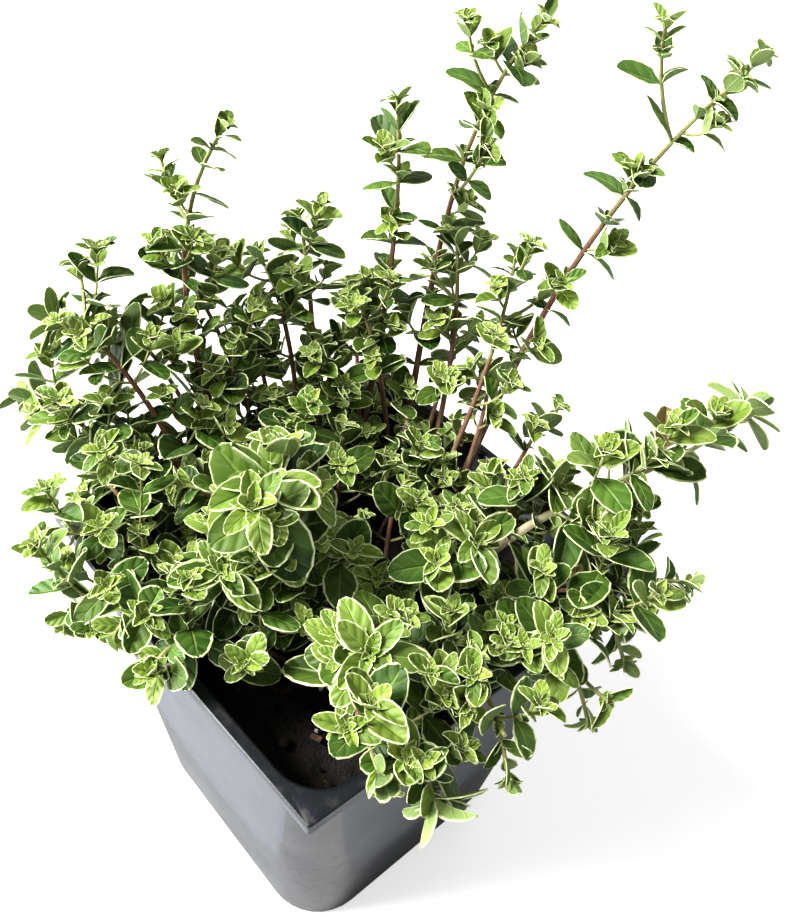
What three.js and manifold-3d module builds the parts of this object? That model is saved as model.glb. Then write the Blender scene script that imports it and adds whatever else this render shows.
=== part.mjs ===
// Potted thyme: a square plastic nursery pot, its root ball, and leafy sprigs that rise from the
// soil and spread over the rim. Millimetres, +Z up, origin at the centre of the pot's underside,
// X and Y along the pot's sides, the open front corner of the pot at +X -Y.

import * as THREE from "three";
import { mergeVertices } from "three/addons/utils/BufferGeometryUtils.js";
import Module from "manifold-3d";

// ---------------------------------------------------------------- driving dimensions
const RIM_HALF = 50; // half of the rim's outer side, at its corners
const POT_HEIGHT = 102;
const SIDE_BOW = 1.1; // how far each side swells outward at its middle
const LEDGE_WIDTH = 3.2; // flat ledge round the mouth
const LEDGE_THICK = 1.2;
const RIM_CORNER = 0.8; // the rim's outer corners are nearly sharp
const SKIRT_DROP = 3; // the ledge's outer edge turns down this far
const SKIRT_THICK = 1;
const LIP_RADIUS = 1.2; // rounded step from the ledge into the mouth
const WALL = 1;
const MOUTH_CORNER = 10; // corner radius of the mouth
const BASE_HALF = 38; // half of the underside's width
const BASE_CORNER = 15;
const FOOT_ROUND = 2.5; // rounding where the walls meet the underside
const FLOOR = 1.4;
const DRAIN_DIAMETER = 7;
const DRAIN_SPREAD = 23; // from the centre to each drain hole, along X and along Y
const SOIL_DROP = 18; // from the rim down to the soil
const SOIL_GAP = 0.4; // between the root ball and the plastic
const STEM_GAP = 0.3; // between a stem's foot and the soil
const LEAF_GAP = 0.3; // least gap between two sprigs, or a sprig and the pot

const GRID = 0.05; // joined solids have their points on a grid this fine
const THINNEST_FACE = 0.01; // and no face is narrower than this
const JUST_BEHIND = 1e-5; // under a face, by this much, there is material
const FOLDED = -0.99; // nor do two faces meet at an edge sharper than this cosine
const RING_STEPS = 40; // points round each ring of the pot
const TIP_GIRTH = 0.9; // stem diameter at the growing tip
const SHOOT_GIRTH = 1.0;
const STEM_RING = 13; // length of stem between two rings of points
const LEAF_THICK = [0.7, 0.8, 0.9, 1]; // the first that joins its stem well
const LEAF_ASPECT = 0.6; // width over length
const SMALLEST_LEAF = 7; // shorter leaves are left to the finished surface
const FIRST_GAP = 1.6; // from the tip to its first pair of leaves
const GAP_GROWTH = 1.5; // each gap between pairs is this much longer than the one above
const LONGEST_GAP = 8.5;
const DRAWN_HALF = 50; // rim half for which the sprigs below were laid out

// ---------------------------------------------------------------- the sprigs
// Each stem runs from its foot on the soil, past its bends, to its tip. X and Y are across the pot
// and Z is above the rim. girth: diameter at the foot. leaf: length of a full leaf. leafy: how much
// of the stem carries leaves, from the tip. shoots: side shoots, and their length.
const SPRIGS = {
  sprig_back_tall: {
    foot: [-14, 26], bends: [[-24, 46, 10], [-54, 66, 60]], tip: [-31, 76, 98],
    girth: 2.2, leaf: 11, leafy: 92, shoots: 5, shoot: 20,
  },
  sprig_back_right_tall: {
    foot: [2, 31], bends: [[-12, 62, 20], [-10, 84, 62]], tip: [9, 96, 95],
    girth: 2.2, leaf: 11, leafy: 80, shoots: 5, shoot: 20,
  },
  sprig_back_top: {
    foot: [-24, 22], bends: [[-44, 46, 16], [-34, 42, 52]], tip: [-46, 47, 80],
    girth: 2, leaf: 10, leafy: 66, shoots: 4, shoot: 18,
  },
  sprig_left_tall: {
    foot: [-30, -4], bends: [[-48, -14, 30], [-78, 0, 46]], tip: [-66, 13, 74],
    girth: 2, leaf: 10, leafy: 60, shoots: 3, shoot: 16,
  },
  sprig_left_far: {
    foot: [-34, -15], bends: [[-52, -24, 40]], tip: [-70, -32, 36],
    girth: 1.8, leaf: 9, leafy: 34, shoots: 2, shoot: 12,
  },
  sprig_left_low: {
    foot: [-32, -24], bends: [[-54, -34, 24]], tip: [-78, -42, 12],
    girth: 1.6, leaf: 10, leafy: 32, shoots: 2, shoot: 12,
  },
  sprig_left_middle: {
    foot: [-33, -10], bends: [[-50, -14, 36]], tip: [-76, -18, 28],
    girth: 1.6, leaf: 9, leafy: 30, shoots: 2, shoot: 12,
  },
  sprig_rear_left_far: {
    foot: [-34, 3], bends: [[-50, 2, 36]], tip: [-75, 1, 38],
    girth: 1.6, leaf: 9, leafy: 32, shoots: 2, shoot: 12,
  },
  sprig_rear_1: {
    foot: [-28, 14], bends: [[-50, 28, 30]], tip: [-64, 33, 46],
    girth: 1.8, leaf: 9, leafy: 36, shoots: 2, shoot: 12,
  },
  sprig_rear_2: {
    foot: [-34, 13], bends: [[-48, 20, 34]], tip: [-70, 24, 34],
    girth: 1.6, leaf: 9, leafy: 30, shoots: 2, shoot: 12,
  },
  sprig_rear_3: {
    foot: [-32, 6], bends: [[-52, 12, 26]], tip: [-62, 12, 26],
    girth: 1.5, leaf: 8, leafy: 26, shoots: 1, shoot: 10,
  },
  sprig_rear_4: {
    foot: [-17, 31], bends: [[-36, 40, 20]], tip: [-42, 34, 34],
    girth: 1.6, leaf: 9, leafy: 30, shoots: 2, shoot: 12,
  },
  sprig_rear_5: {
    foot: [-20, 14], bends: [[-36, 24, 14]], tip: [-42, 25, 22],
    girth: 1.5, leaf: 9, leafy: 26, shoots: 1, shoot: 10,
  },
  sprig_rear_6: {
    foot: [-30, 30], bends: [[-50, 44, 10]], tip: [-60, 48, 22],
    girth: 1.5, leaf: 9, leafy: 28, shoots: 2, shoot: 11,
  },
  sprig_back_1: {
    foot: [-8, 32], bends: [[-20, 54, 26]], tip: [-32, 58, 48],
    girth: 1.8, leaf: 10, leafy: 36, shoots: 2, shoot: 12,
  },
  sprig_back_2: {
    foot: [-2, 24], bends: [[-4, 50, 26]], tip: [-20, 68, 46],
    girth: 1.8, leaf: 9, leafy: 34, shoots: 2, shoot: 12,
  },
  sprig_back_3: {
    foot: [6, 26], bends: [[-2, 48, 22]], tip: [-12, 56, 18],
    girth: 1.5, leaf: 9, leafy: 26, shoots: 1, shoot: 10,
  },
  sprig_back_4: {
    foot: [12, 31], bends: [[8, 54, 16]], tip: [4, 64, 8],
    girth: 1.5, leaf: 9, leafy: 26, shoots: 1, shoot: 10,
  },
  sprig_back_5: {
    foot: [-11, 32], bends: [[-20, 46, 24]], tip: [-26, 62, 18],
    girth: 1.5, leaf: 9, leafy: 26, shoots: 1, shoot: 10,
  },
  sprig_inner_back: {
    foot: [-8, 18], bends: [[-10, 30, 2]], tip: [-14, 37, 4],
    girth: 1.4, leaf: 9, leafy: 22, shoots: 1, shoot: 9,
  },
  sprig_inner_centre: {
    foot: [4, 10], bends: [[-2, 14, 4]], tip: [-2, 20, 8],
    girth: 1.4, leaf: 8, leafy: 22, shoots: 1, shoot: 9,
  },
  sprig_inner_rear: {
    foot: [-12, 8], bends: [[-20, 12, 6]], tip: [-22, 16, 12],
    girth: 1.4, leaf: 9, leafy: 24, shoots: 1, shoot: 9,
  },
  sprig_inner_left: {
    foot: [-22, 2], bends: [[-34, 6, 14]], tip: [-38, 8, 14],
    girth: 1.5, leaf: 9, leafy: 24, shoots: 1, shoot: 9,
  },
  sprig_left_1: {
    foot: [-25, 0], bends: [[-40, -2, 20]], tip: [-53, -5, 8],
    girth: 1.5, leaf: 9, leafy: 26, shoots: 1, shoot: 10,
  },
  sprig_left_2: {
    foot: [-21, -20], bends: [[-38, -22, 12]], tip: [-54, -22, 8],
    girth: 1.5, leaf: 9, leafy: 26, shoots: 1, shoot: 10,
  },
  sprig_left_3: {
    foot: [-16, -14], bends: [[-22, -22, 16]], tip: [-28, -26, 12],
    girth: 1.5, leaf: 9, leafy: 26, shoots: 1, shoot: 10,
  },
  sprig_left_4: {
    foot: [-24, -32], bends: [[-40, -38, 12]], tip: [-50, -38, 6],
    girth: 1.5, leaf: 9, leafy: 26, shoots: 1, shoot: 10,
  },
  sprig_rim_left_1: {
    foot: [-22, -24], bends: [[-30, -46, 14]], tip: [-38, -56, 5],
    girth: 1.5, leaf: 9, leafy: 28, shoots: 1, shoot: 10,
  },
  sprig_rim_left_2: {
    foot: [-13, -30], bends: [[-20, -52, 16]], tip: [-20, -63, -2],
    girth: 1.5, leaf: 9, leafy: 28, shoots: 1, shoot: 10,
  },
  sprig_rim_left_3: {
    foot: [-4, -30], bends: [[-8, -48, 14]], tip: [-8, -57, 3],
    girth: 1.5, leaf: 9, leafy: 26, shoots: 1, shoot: 9,
  },
  sprig_rim_left_4: {
    foot: [5, -33], bends: [[3, -46, 12]], tip: [4, -54, 4],
    girth: 1.4, leaf: 9, leafy: 22, shoots: 1, shoot: 9,
  },
  sprig_near_tall: {
    foot: [-4, -8], bends: [[-2, -20, 20]], tip: [2, -24, 36],
    girth: 2, leaf: 13, leafy: 36, shoots: 2, shoot: 12,
  },
  sprig_near_1: {
    foot: [-5, -20], bends: [[-2, -34, 10]], tip: [2, -36, 18],
    girth: 1.6, leaf: 10, leafy: 26, shoots: 1, shoot: 10,
  },
  sprig_near_2: {
    foot: [6, -3], bends: [[6, -12, 8]], tip: [8, -14, 14],
    girth: 1.5, leaf: 10, leafy: 24, shoots: 1, shoot: 10,
  },
  sprig_near_3: {
    foot: [10, -24], bends: [[13, -34, 4]], tip: [16, -39, 5],
    girth: 1.4, leaf: 9, leafy: 22, shoots: 1, shoot: 9,
  },
  sprig_near_4: {
    foot: [8, -15], bends: [[14, -20, 4]], tip: [17, -25, 8],
    girth: 1.4, leaf: 10, leafy: 22, shoots: 1, shoot: 9,
  },
  sprig_front_rosette: {
    foot: [19, -9], bends: [[30, -20, 6]], tip: [36, -25, 18],
    girth: 1.8, leaf: 12, leafy: 26, shoots: 1, shoot: 10,
  },
  sprig_front_1: {
    foot: [22, -17], bends: [[36, -30, 12]], tip: [52, -35, 6],
    girth: 1.6, leaf: 12, leafy: 26, shoots: 1, shoot: 10,
  },
  sprig_front_2: {
    foot: [30, -14], bends: [[46, -24, 14]], tip: [60, -27, -2],
    girth: 1.6, leaf: 11, leafy: 28, shoots: 1, shoot: 10,
  },
  sprig_front_3: {
    foot: [26, -6], bends: [[44, -14, 6]], tip: [54, -15, 13],
    girth: 1.6, leaf: 10, leafy: 28, shoots: 2, shoot: 11,
  },
  sprig_front_4: {
    foot: [30, -3], bends: [[46, -5, 26]], tip: [66, -12, -3],
    girth: 1.5, leaf: 10, leafy: 28, shoots: 1, shoot: 10,
  },
  sprig_middle_1: {
    foot: [15, 5], bends: [[24, 4, 14]], tip: [31, 7, 24],
    girth: 1.7, leaf: 11, leafy: 30, shoots: 2, shoot: 11,
  },
  sprig_middle_2: {
    foot: [16, 16], bends: [[22, 28, 16]], tip: [30, 34, 23],
    girth: 1.7, leaf: 10, leafy: 30, shoots: 2, shoot: 11,
  },
  sprig_middle_3: {
    foot: [32, 6], bends: [[42, 6, 2]], tip: [45, 5, 12],
    girth: 1.5, leaf: 9, leafy: 24, shoots: 1, shoot: 10,
  },
  sprig_arching_right: {
    foot: [24, 1], bends: [[27, 20, 34], [44, 48, 20]], tip: [46, 81, 33],
    girth: 2.8, leaf: 12, leafy: 74, shoots: 5, shoot: 16,
  },
  sprig_right_1: {
    foot: [22, 26], bends: [[36, 44, 10]], tip: [50, 47, 4],
    girth: 1.5, leaf: 9, leafy: 28, shoots: 1, shoot: 10,
  },
  sprig_right_2: {
    foot: [32, 15], bends: [[48, 30, 16]], tip: [62, 48, 10],
    girth: 1.6, leaf: 10, leafy: 32, shoots: 2, shoot: 12,
  },
  sprig_rim_right_1: {
    foot: [31, 22], bends: [[46, 28, 26]], tip: [62, 31, -6],
    girth: 1.5, leaf: 10, leafy: 28, shoots: 1, shoot: 10,
  },
  sprig_rim_right_2: {
    foot: [33, 10], bends: [[48, 14, 28]], tip: [66, 15, -10],
    girth: 1.5, leaf: 10, leafy: 30, shoots: 1, shoot: 10,
  },
};

// ---------------------------------------------------------------- plain helpers
const wasm = await Module();
wasm.setup();
const UP = new THREE.Vector3(0, 0, 1);
const SKEW = new THREE.Vector3(0.5773, 0.6124, 0.5401).normalize(); // along no likely edge
const RIM_Z = POT_HEIGHT;
const SOIL_Z = RIM_Z - SOIL_DROP;
const radians = THREE.MathUtils.degToRad;

function solidOf(geometry) {
  const plain = geometry.clone();
  plain.deleteAttribute("normal");
  plain.deleteAttribute("uv");
  const merged = mergeVertices(plain, 1e-4);
  const mesh = new wasm.Mesh({
    numProp: 3,
    vertProperties: new Float32Array(merged.attributes.position.array),
    triVerts: new Uint32Array(merged.index.array),
  });
  return new wasm.Manifold(mesh);
}

function geometryOf(solid) {
  const mesh = solid.getMesh();
  const geometry = new THREE.BufferGeometry();
  geometry.setAttribute("position", new THREE.BufferAttribute(mesh.vertProperties, 3));
  geometry.setIndex(new THREE.BufferAttribute(mesh.triVerts, 1));
  geometry.computeVertexNormals();
  return geometry;
}

// A repeatable die: the same seed always gives the same plant.
function dice(seed) {
  let state = seed;
  return () => {
    state = (state * 48271) % 2147483647;
    return state / 2147483647;
  };
}

// ---------------------------------------------------------------- pot and root ball
// Point number step of a rounded square whose sides swell by bow at their middles.
function onRing(half, corner, bow, step) {
  const perSide = RING_STEPS / 4;
  const side = Math.floor(step / perSide) % 4;
  const k = step % perSide;
  const arcSteps = perSide / 2;
  const straight = half - corner;
  let x = half;
  let y = -straight + (2 * straight * k) / arcSteps;
  if (k > arcSteps) {
    const angle = ((k - arcSteps) / (perSide - arcSteps)) * (Math.PI / 2);
    x = straight + corner * Math.cos(angle);
    y = straight + corner * Math.sin(angle);
  }
  const swell = 1 + (bow / half) * Math.max(0, 1 - (y / half) ** 2);
  const turn = (side * Math.PI) / 2;
  const point = new THREE.Vector2(x * swell, y);
  return point.rotateAround(new THREE.Vector2(), turn);
}

// A closed skin through rounded-square rings. Each ring is [half width, corner radius, bow, z], and
// the first and the last have no width, so the skin closes on the axis.
function ringedSkin(rings) {
  const outline = rings.map(([half, , , z]) => new THREE.Vector2(half, z));
  const geometry = new THREE.LatheGeometry(outline, RING_STEPS);
  const position = geometry.attributes.position;
  for (let step = 0; step <= RING_STEPS; step += 1) {
    rings.forEach(([half, corner, bow, z], j) => {
      const point = half === 0 ? new THREE.Vector2() : onRing(half, corner, bow, step % RING_STEPS);
      position.setXYZ(step * rings.length + j, point.x, point.y, z);
    });
  }
  return geometry;
}

// Half width and corner radius of the pot's outer wall at height z.
function wallAt(z) {
  const topHalf = RIM_HALF - LEDGE_WIDTH + WALL;
  const share = z / RIM_Z;
  const half = THREE.MathUtils.lerp(BASE_HALF, topHalf, share);
  const corner = THREE.MathUtils.lerp(BASE_CORNER, MOUTH_CORNER + WALL, share);
  return [half, corner, SIDE_BOW * share, z];
}

function inset([half, corner, bow, z], by) {
  return [half - by, Math.max(corner - by, 0.5), bow, z];
}

function potGeometry() {
  const ledgeBottom = RIM_Z - LEDGE_THICK;
  const edge = [RIM_HALF, RIM_CORNER, SIDE_BOW];
  const mouth = inset(wallAt(RIM_Z), WALL);
  const stand = BASE_HALF - FOOT_ROUND;
  const standCorner = BASE_CORNER - FOOT_ROUND;
  const bent = FOOT_ROUND * 0.3;
  const rings = [
    [0, 0, 0, 0],
    [stand, standCorner, 0, 0],
    inset([BASE_HALF, BASE_CORNER, 0, bent], bent),
    wallAt(FOOT_ROUND),
    wallAt(ledgeBottom),
    inset([...edge, ledgeBottom], SKIRT_THICK),
    inset([...edge, RIM_Z - SKIRT_DROP], SKIRT_THICK),
    [...edge, RIM_Z - SKIRT_DROP],
    [...edge, RIM_Z],
    inset(mouth, -LIP_RADIUS),
    inset([...mouth.slice(0, 3), RIM_Z - LIP_RADIUS * 0.3], -LIP_RADIUS * 0.3),
    inset(wallAt(RIM_Z - LIP_RADIUS), WALL),
    inset(wallAt(FLOOR + FOOT_ROUND), WALL),
    inset(wallAt(FLOOR), WALL + FOOT_ROUND),
    [0, 0, 0, FLOOR],
  ];
  let pot = solidOf(ringedSkin(rings));
  for (const turn of [0, 90, 180, 270]) {
    const drain = new THREE.CylinderGeometry(DRAIN_DIAMETER / 2, DRAIN_DIAMETER / 2, 20, 16);
    drain.rotateX(Math.PI / 2);
    drain.translate(DRAIN_SPREAD, DRAIN_SPREAD, 0);
    drain.rotateZ(radians(turn));
    pot = pot.subtract(solidOf(drain));
  }
  return geometryOf(pot);
}

function soilGeometry() {
  const bottom = FLOOR + SOIL_GAP;
  const inside = WALL + SOIL_GAP;
  return ringedSkin([
    [0, 0, 0, bottom],
    inset(wallAt(bottom), inside + FOOT_ROUND),
    inset(wallAt(bottom + FOOT_ROUND), inside),
    inset(wallAt(SOIL_Z), inside),
    [0, 0, 0, SOIL_Z],
  ]);
}

// ---------------------------------------------------------------- how a sprig grows
function alongCurve(points, t) {
  let row = points;
  while (row.length > 1) {
    row = row.slice(1).map((next, i) => row[i].clone().lerp(next, t));
  }
  return row[0];
}

function heading(points, t) {
  return alongCurve(points, t + 0.01).sub(alongCurve(points, t - 0.01)).normalize();
}

function curveLength(points) {
  let length = 0;
  for (let i = 0; i < 20; i += 1) {
    length += alongCurve(points, i / 20).distanceTo(alongCurve(points, (i + 1) / 20));
  }
  return length;
}

// Pairs of opposite leaves from the tip down, each pair at a right angle to the next, and a side
// shoot from the axils of some pairs. Returns leaves {base, along, face, length, pair} and shoots.
function grow(points, { leaf, leafy, shoots, shoot }, seed) {
  const draw = dice(seed);
  const length = curveLength(points);
  const chord = points[points.length - 1].clone().sub(points[0]);
  const level = chord.clone().cross(UP).normalize();
  const leaves = [];
  const branches = [];
  let gap = FIRST_GAP;
  let fromTip = FIRST_GAP;
  for (let pair = 0; fromTip < Math.min(leafy, length - 8); pair += 1) {
    const t = 1 - fromTip / length;
    const base = alongCurve(points, t);
    const up = heading(points, t);
    const across = level.clone().addScaledVector(up, -level.dot(up)).normalize();
    const round = up.clone().cross(across);
    const turn = pair * (Math.PI / 2) + 0.6 + (draw() - 0.5) * 0.6;
    const open = radians(Math.min(78, 34 + 13 * pair) + 18 * (draw() - 0.5));
    const size = leaf * Math.min(1, 0.4 + 0.2 * pair) * (0.85 + 0.3 * draw());
    const out = across.multiplyScalar(Math.cos(turn)).addScaledVector(round, Math.sin(turn));
    for (const side of [1, -1]) {
      const along = up.clone().multiplyScalar(Math.cos(open));
      along.addScaledVector(out, side * Math.sin(open)).normalize();
      const face = up.clone().addScaledVector(UP, 0.8);
      face.addScaledVector(along, -face.dot(along)).normalize();
      leaves.push({ base, along, face, length: size, pair });
    }
    const shootLength = shoot * (0.7 + 0.5 * draw());
    const shootSide = draw() < 0.5 ? 1 : -1;
    if (pair > 2 && branches.length < shoots && shootLength > 0) {
      const knee = base.clone().addScaledVector(out, shootSide * shootLength * 0.55);
      knee.addScaledVector(up, shootLength * 0.3);
      const end = base.clone().addScaledVector(out, shootSide * shootLength * 0.75);
      end.addScaledVector(up, shootLength * 0.6).addScaledVector(UP, shootLength * 0.2);
      branches.push([base, knee, end]);
    }
    gap = Math.min(gap * GAP_GROWTH, LONGEST_GAP);
    fromTip += gap;
  }
  return { leaves, branches };
}

// ---------------------------------------------------------------- solids of a sprig
// A tapered stem: a cylinder whose rings are laid along the curve.
function stemSolid(points, footGirth, tipGirth, sides, rings) {
  const geometry = new THREE.CylinderGeometry(1, 1, 1, sides, rings);
  const position = geometry.attributes.position;
  const chord = points[points.length - 1].clone().sub(points[0]);
  const level = chord.clone().cross(UP).normalize();
  for (let i = 0; i < position.count; i += 1) {
    const t = position.getY(i) + 0.5;
    const up = t === 0 ? UP.clone() : heading(points, Math.min(t, 0.98));
    const across = level.clone().addScaledVector(up, -level.dot(up)).normalize();
    const round = across.clone().cross(up);
    const radius = THREE.MathUtils.lerp(footGirth, tipGirth, t) / 2;
    const point = alongCurve(points, t);
    point.addScaledVector(across, position.getX(i) * radius);
    point.addScaledVector(round, position.getZ(i) * radius);
    position.setXYZ(i, point.x, point.y, point.z);
  }
  return solidOf(geometry);
}

// A leaf plate: a four-cornered outline from base to tip, thickest in its middle.
function leafSolid({ base, along, face, length }, thick) {
  const geometry = new THREE.SphereGeometry(1, 4, 2);
  const across = along.clone().cross(face);
  const middle = base.clone().addScaledVector(along, length / 2);
  const frame = new THREE.Matrix4().makeBasis(
    along.clone().multiplyScalar(length / 2),
    face.clone().multiplyScalar(thick / 2),
    across.multiplyScalar((length * LEAF_ASPECT) / 2),
  );
  frame.setPosition(middle);
  geometry.applyMatrix4(frame);
  return solidOf(geometry);
}

function boxesNear(a, b, reach) {
  return [0, 1, 2].every((k) => a.min[k] - reach < b.max[k] && b.min[k] - reach < a.max[k]);
}

// What stands already: every piece of every sprig with its owner, and the pot and soil.
const standing = [];

function place(owner, solid) {
  standing.push({ owner, solid, box: solid.boundingBox() });
}

// The names of the pieces that stand closer than LEAF_GAP to this solid of their neighbour's.
function touchedBy(owner, solid) {
  const box = solid.boundingBox();
  return standing
    .filter((other) => other.owner !== owner && boxesNear(box, other.box, LEAF_GAP))
    .filter((other) => other.solid.minGap(solid, LEAF_GAP) < LEAF_GAP)
    .map((other) => other.owner);
}

// Does a point lie on an edge that it isn't an end of? edges holds "from to" pairs of point numbers.
function touchesItself(points, edges) {
  const nearest = new THREE.Vector3();
  return edges.some((edge) => {
    const [from, to] = edge.split(" ").map(Number);
    const line = new THREE.Line3(points[from], points[to]);
    const reach = line.distanceSq();
    return points.some(
      (point, number) =>
        from < to &&
        number !== from &&
        number !== to &&
        point.distanceToSquared(line.start) < reach &&
        line.closestPointToPoint(point, true, nearest).distanceTo(point) < THINNEST_FACE,
    );
  });
}

// Does the surface pass through itself? There has to be material just behind each face, from where
// a line leaves the solid once more often than it enters it.
function crossesItself(points, faces) {
  const triangles = [];
  for (let i = 0; i < faces.length; i += 3) {
    triangles.push(new THREE.Triangle(...[0, 1, 2].map((k) => points[faces[i + k]])));
  }
  const normals = triangles.map((flat) => flat.getNormal(new THREE.Vector3()));
  const line = new THREE.Ray(new THREE.Vector3(), SKEW);
  const met = new THREE.Vector3();
  return triangles.some((flat, number) => {
    flat.getMidpoint(line.origin).addScaledVector(normals[number], -JUST_BEHIND);
    const ways = triangles.map(({ a, b, c }, k) =>
      line.intersectTriangle(a, b, c, false, met) ? Math.sign(normals[k].dot(SKEW)) : 0,
    );
    return ways.reduce((sum, way) => sum + way, 0) !== 1;
  });
}

// The solid with its points on a fine grid, so that no two lie almost together. Undefined where
// that leaves a surface that isn't closed, a sliver, two faces folded flat onto each other, a point
// that touches an edge it isn't part of, or a surface that passes through itself.
function onGrid(solid) {
  const mesh = solid.getMesh();
  const numbers = new Map();
  const points = [];
  const numberOf = (vertex) => {
    const steps = [0, 1, 2].map((k) => Math.round(mesh.vertProperties[3 * vertex + k] / GRID));
    const key = steps.join();
    if (!numbers.has(key)) {
      numbers.set(key, points.length);
      points.push(new THREE.Vector3(...steps).multiplyScalar(GRID));
    }
    return numbers.get(key);
  };
  const faces = [];
  const edges = new Map();
  let sound = true;
  for (let i = 0; i < mesh.triVerts.length; i += 3) {
    const face = [0, 1, 2].map((k) => numberOf(mesh.triVerts[i + k]));
    if (new Set(face).size === 3) {
      faces.push(...face);
      const corners = face.map((number) => points[number]);
      const flat = new THREE.Triangle(...corners);
      const normal = flat.getNormal(new THREE.Vector3());
      const longest = Math.max(...corners.map((from, k) => from.distanceTo(corners[(k + 1) % 3])));
      sound = sound && (2 * flat.getArea()) / longest > THINNEST_FACE;
      face.forEach((from, k) => {
        const edge = `${from} ${face[(k + 1) % 3]}`;
        sound = sound && !edges.has(edge);
        edges.set(edge, normal);
      });
    }
  }
  for (const [edge, normal] of edges) {
    const other = edges.get(edge.split(" ").reverse().join(" "));
    sound = sound && other !== undefined && normal.dot(other) > FOLDED;
  }
  if (!sound || touchesItself(points, [...edges.keys()]) || crossesItself(points, faces)) {
    return undefined;
  }
  return new wasm.Manifold(
    new wasm.Mesh({
      numProp: 3,
      vertProperties: new Float32Array(points.flatMap((point) => point.toArray())),
      triVerts: new Uint32Array(faces),
    }),
  );
}

// The stem with each of its limbs that joins it as one body without a sealed pocket. A limb comes as
// a list of its versions, of which the first that joins well is taken.
function joined(stem, limbs) {
  return limbs.reduce((whole, versions) => {
    for (const limb of versions) {
      const both = onGrid(whole.add(limb));
      if (both && both.decompose().length === 1) {
        return both;
      }
    }
    return whole;
  }, onGrid(stem));
}

function pathOf({ foot, bends, tip }) {
  const spread = RIM_HALF / DRAWN_HALF;
  const points = [...bends, tip].map(([x, y, z]) => new THREE.Vector3(x * spread, y * spread, RIM_Z + z));
  points.unshift(new THREE.Vector3(foot[0] * spread, foot[1] * spread, SOIL_Z + STEM_GAP));
  return points;
}

// ---------------------------------------------------------------- materials and assembly
const potPlastic = new THREE.MeshStandardMaterial({ color: 0x15161b, roughness: 0.35, metalness: 0 });
const darkSoil = new THREE.MeshStandardMaterial({ color: 0x2b1c14, roughness: 0.95, metalness: 0 });
const thymeGreen = new THREE.MeshStandardMaterial({ color: 0x557a2e, roughness: 0.6, metalness: 0 });

const plant = new THREE.Group();

function addPiece(name, geometry, material) {
  const mesh = new THREE.Mesh(geometry, material);
  mesh.name = name;
  plant.add(mesh);
}

const pot = potGeometry();
const soil = soilGeometry();
addPiece("pot", pot, potPlastic);
addPiece("soil", soil, darkSoil);
place("pot", solidOf(pot));

const sprigs = Object.entries(SPRIGS).map(([name, habit], number) => {
  const points = pathOf(habit);
  const rings = Math.max(3, Math.round(curveLength(points) / STEM_RING));
  const stem = stemSolid(points, habit.girth, TIP_GIRTH, 5, rings);
  for (const other of touchedBy(name, stem)) {
    console.warn(`the stem of ${name} meets ${other}`);
  }
  place(name, stem);
  return { name, habit, stem, limbs: [], grown: grow(points, habit, number + 11), number };
});
place("soil", solidOf(soil));

// Side shoots go in before the leaves, and each sprig's leaves only where nothing else stands.
for (const sprig of sprigs) {
  sprig.grown.branches.forEach((points, i) => {
    const shoot = stemSolid(points, SHOOT_GIRTH, TIP_GIRTH, 3, 2);
    if (touchedBy(sprig.name, shoot).length === 0) {
      place(sprig.name, shoot);
      sprig.limbs.push([shoot]);
      const habit = { leaf: sprig.habit.leaf * 0.85, leafy: 99, shoots: 0, shoot: 0 };
      const { leaves } = grow(points, habit, 1000 + 20 * sprig.number + i);
      sprig.grown.leaves.push(...leaves);
    }
  });
}
for (const sprig of sprigs) {
  for (const leaf of sprig.grown.leaves.filter((one) => one.length >= SMALLEST_LEAF)) {
    const versions = LEAF_THICK.map((thick) => leafSolid(leaf, thick));
    const thickest = versions.at(-1);
    if (touchedBy(sprig.name, thickest).length === 0) {
      place(sprig.name, thickest);
      sprig.limbs.push(versions);
    }
  }
  addPiece(sprig.name, geometryOf(joined(sprig.stem, sprig.limbs)), thymeGreen);
}

export default plant;
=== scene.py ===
"""Potted thyme: a square plastic nursery pot, its potting mix, and leafy sprigs that stand in the
mix and spread over the rim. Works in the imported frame: metres, +Z up, origin under the pot."""

import math

import bmesh
import bpy
import numpy as np
from mathutils import Matrix, Vector


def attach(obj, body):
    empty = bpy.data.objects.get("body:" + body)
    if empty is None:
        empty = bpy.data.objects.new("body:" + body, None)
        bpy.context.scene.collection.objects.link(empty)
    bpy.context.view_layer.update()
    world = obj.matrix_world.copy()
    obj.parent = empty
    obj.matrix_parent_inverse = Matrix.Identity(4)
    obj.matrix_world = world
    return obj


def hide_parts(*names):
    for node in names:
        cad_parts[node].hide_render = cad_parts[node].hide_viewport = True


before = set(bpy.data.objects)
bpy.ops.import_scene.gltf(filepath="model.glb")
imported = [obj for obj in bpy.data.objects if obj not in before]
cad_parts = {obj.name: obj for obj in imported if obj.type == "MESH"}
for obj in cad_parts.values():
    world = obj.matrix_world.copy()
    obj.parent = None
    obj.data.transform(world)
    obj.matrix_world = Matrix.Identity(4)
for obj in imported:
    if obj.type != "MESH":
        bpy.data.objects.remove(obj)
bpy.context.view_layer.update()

# ---------------------------------------------------------------- measures, in millimetres
MM = 0.001
RIM_HALF = 50
POT_HEIGHT = 102
SIDE_BOW = 1.1
LEDGE_WIDTH = 3.2
LEDGE_THICK = 1.2
RIM_CORNER = 0.8
SKIRT_DROP = 3
SKIRT_THICK = 1
LIP_RADIUS = 1.2
WALL = 1
MOUTH_CORNER = 10
BASE_HALF = 38
BASE_CORNER = 15
FOOT_ROUND = 2.5
FLOOR = 1.4
DRAIN_DIAMETER = 7
DRAIN_SPREAD = 23
SOIL_DROP = 18
STEM_GAP = 0.3
TIP_GIRTH = 0.9
SHOOT_GIRTH = 1.0
FIRST_GAP = 1.6
GAP_GROWTH = 1.5
LONGEST_GAP = 8.5
SMALLEST_CAD_LEAF = 7
LEAF_THICKNESS = 0.24
RIM_Z = POT_HEIGHT
SOIL_Z = RIM_Z - SOIL_DROP
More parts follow.
